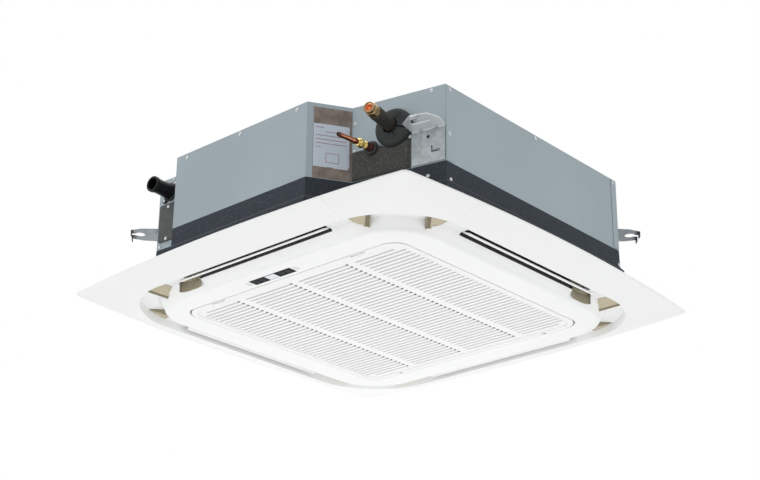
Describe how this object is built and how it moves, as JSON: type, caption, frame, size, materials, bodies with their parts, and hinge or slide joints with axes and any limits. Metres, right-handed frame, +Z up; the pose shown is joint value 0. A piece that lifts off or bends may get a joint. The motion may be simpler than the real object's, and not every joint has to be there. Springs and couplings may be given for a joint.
{
  "type": "ceiling cassette air conditioner",
  "caption": "Square cassette air conditioner that hangs in a ceiling void: sheet-metal body, white panel, hinged intake grille, a louvre on each side, fan, coil and drain pump.",
  "frame": {"origin": "centre of the ceiling plane, where the panel's rim meets the ceiling", "axes": "+Z up into the ceiling void, -Y towards the display side, +X towards the side right of the pipe corner"},
  "size_m": [0.95, 0.95, 0.274],
  "materials": {
    "zinc_sheet": "satin zinc-coated steel sheet",
    "panel_white": "satin white moulding",
    "cream_foam": "fine-cell foam",
    "slate_foam": "speckled dark foam",
    "pale_foam": "white foam",
    "black_rubber": "matt black",
    "black_plastic": "dark window",
    "brass": "turned",
    "copper": "bare drawn copper tube",
    "fin_aluminium": "mill finish",
    "steel": "bright",
    "fan_plastic": "moulded"
  },
  "bodies": {
    "unit": {"top_plate": "zinc_sheet", "left_sheet": "zinc_sheet", "right_sheet": "zinc_sheet", "rear_sheet": "zinc_sheet", "back_sheet": "zinc_sheet", "pipe_corner_sheet": "zinc_sheet", "drain_corner_sheet": "zinc_sheet", "right_corner_sheet": "zinc_sheet", "far_corner_sheet": "zinc_sheet", "hanger_near": "zinc_sheet", "hanger_left": "zinc_sheet", "hanger_right": "zinc_sheet", "hanger_far": "zinc_sheet", "fan_motor": "zinc_sheet", "pump_bracket": "zinc_sheet", "control_box": "zinc_sheet", "control_box_lid": "zinc_sheet", "panel_frame": "panel_white", "corner_cover_near": "panel_white", "corner_cover_right": "panel_white", "corner_cover_far": "panel_white", "corner_cover_left": "panel_white", "outlet_liner": "cream_foam", "drain_pan": "slate_foam", "pipe_foam": "slate_foam", "foam_liner": "pale_foam", "drain_hose": "pale_foam", "gas_insulation": "black_rubber", "liquid_grommet": "black_rubber", "drain_socket": "black_rubber", "pump_cover": "black_rubber", "display_window": "black_plastic", "receiver_board": "black_plastic", "gas_nut": "brass", "liquid_nut": "brass", "gas_pipe": "copper", "liquid_pipe": "copper", "gas_header": "copper", "liquid_distributor": "copper", "coil": "fin_aluminium", "coil_end_plate_left": "fin_aluminium", "coil_end_plate_right": "fin_aluminium", "louvre_motor_left": "steel", "louvre_motor_right": "steel", "louvre_motor_rear": "steel", "louvre_motor_back": "steel", "bell_mouth": "fan_plastic", "drain_pump": "fan_plastic"},
    "fan": {"impeller": "fan_plastic", "motor_shaft": "steel", "fan_nut": "steel"},
    "louvre_left": {"louvre_left": "panel_white"},
    "louvre_right": {"louvre_right": "panel_white"},
    "louvre_rear": {"louvre_rear": "panel_white"},
    "louvre_back": {"louvre_back": "panel_white"},
    "grille": {"intake_grille": "panel_white", "air_filter": "fan_plastic"},
    "latch_left": {"grille_latch_left": "panel_white"},
    "latch_right": {"grille_latch_right": "panel_white"},
    "float": {"float_ring": "fan_plastic"}
  },
  "joints": [
    {"name": "fan_spin", "type": "hinge", "parent": "unit", "child": "fan", "pos_m": [0, 0, 0.15], "axis": [0, 0, 1], "continuous": true},
    {"name": "louvre_left_hinge", "type": "hinge", "parent": "unit", "child": "louvre_left", "pos_m": [0, -0.372, -0.002], "axis": [1, 0, 0], "range_deg": [-31.6, 25]},
    {"name": "louvre_right_hinge", "type": "hinge", "parent": "unit", "child": "louvre_right", "pos_m": [0.372, 0, -0.002], "axis": [0, 1, 0], "range_deg": [-31.6, 25]},
    {"name": "louvre_rear_hinge", "type": "hinge", "parent": "unit", "child": "louvre_rear", "pos_m": [0, 0.372, -0.002], "axis": [-1, 0, 0], "range_deg": [-31.6, 25]},
    {"name": "louvre_back_hinge", "type": "hinge", "parent": "unit", "child": "louvre_back", "pos_m": [-0.372, 0, -0.002], "axis": [0, -1, 0], "range_deg": [-31.6, 25]},
    {"name": "grille_hinge", "type": "hinge", "parent": "unit", "child": "grille", "pos_m": [0, 0.286, -0.0325], "axis": [1, 0, 0], "range_deg": [0, 55]},
    {"name": "latch_left_slide", "type": "slide", "parent": "grille", "child": "latch_left", "axis": [0, -1, 0], "range_m": [0, 0.005]},
    {"name": "latch_right_slide", "type": "slide", "parent": "grille", "child": "latch_right", "axis": [0, -1, 0], "range_m": [0, 0.005]},
    {"name": "float_slide", "type": "slide", "parent": "unit", "child": "float", "axis": [0, 0, 1], "range_m": [0, 0.01]}
  ]
}
